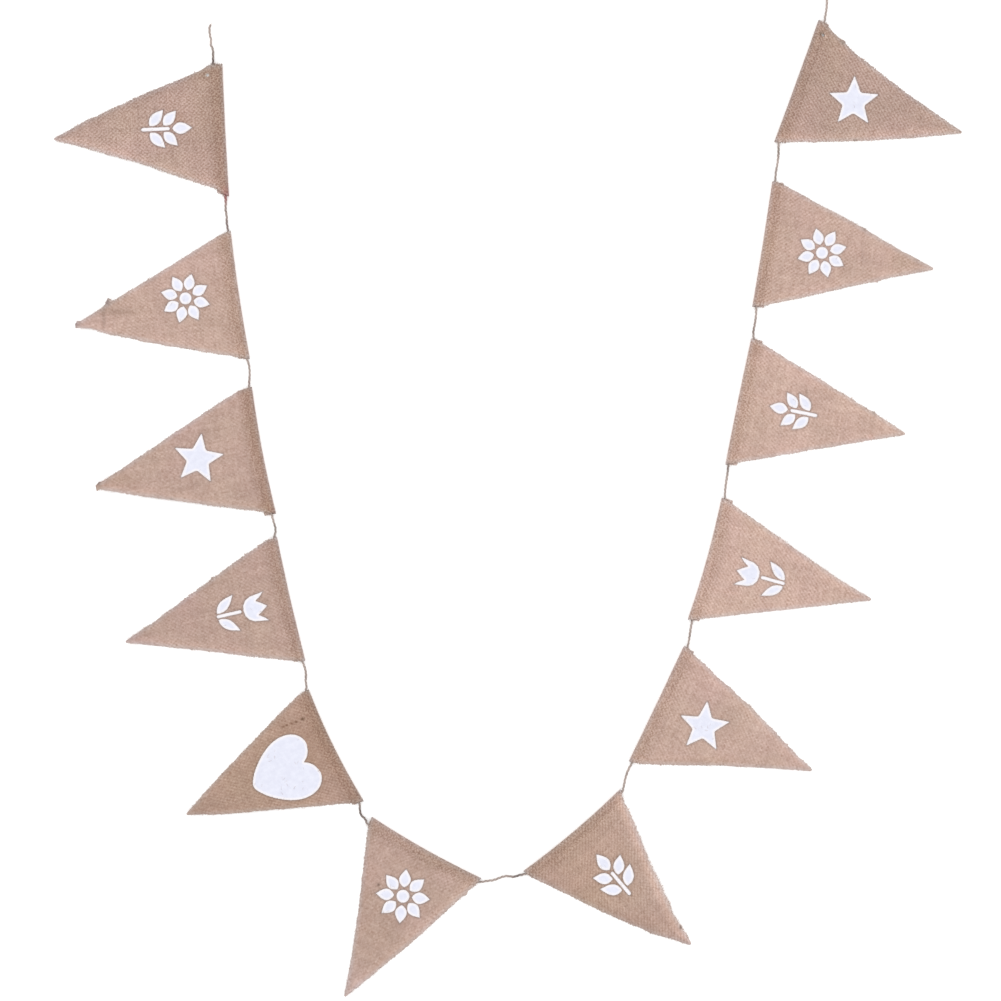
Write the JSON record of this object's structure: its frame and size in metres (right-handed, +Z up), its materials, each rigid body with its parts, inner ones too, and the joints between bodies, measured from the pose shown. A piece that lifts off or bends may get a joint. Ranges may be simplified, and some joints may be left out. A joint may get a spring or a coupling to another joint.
{
  "type": "fabric bunting",
  "caption": "Garland of triangular jute cloth pennants threaded by their folded hems on a twine, laid flat in a U, with stencilled white motifs.",
  "frame": {"origin": "middle of the bounding box in X and Y, on the surface that the garland lies on", "axes": "+Z up, out of the surface; +Y towards the open end of the U, along its length; +X across the U"},
  "size_m": [0.9071, 1.0105, 0.0081],
  "materials": {
    "burlap": "coarse plain jute weave with raw, slightly frayed edges, and motifs stencilled in matt white paint",
    "twine": "twisted jute twine with loose fibres",
    "paint": "matt white stencil paint that has soaked into the weave"
  },
  "bodies": {
    "root": {"flag_01": "burlap", "flag_02": "burlap", "flag_03": "burlap", "flag_04": "burlap", "flag_05": "burlap", "flag_06": "burlap", "flag_07": "burlap", "flag_08": "burlap", "flag_09": "burlap", "flag_10": "burlap", "flag_11": "burlap", "flag_12": "burlap", "twine": "twine"}
  },
  "joints": []
}
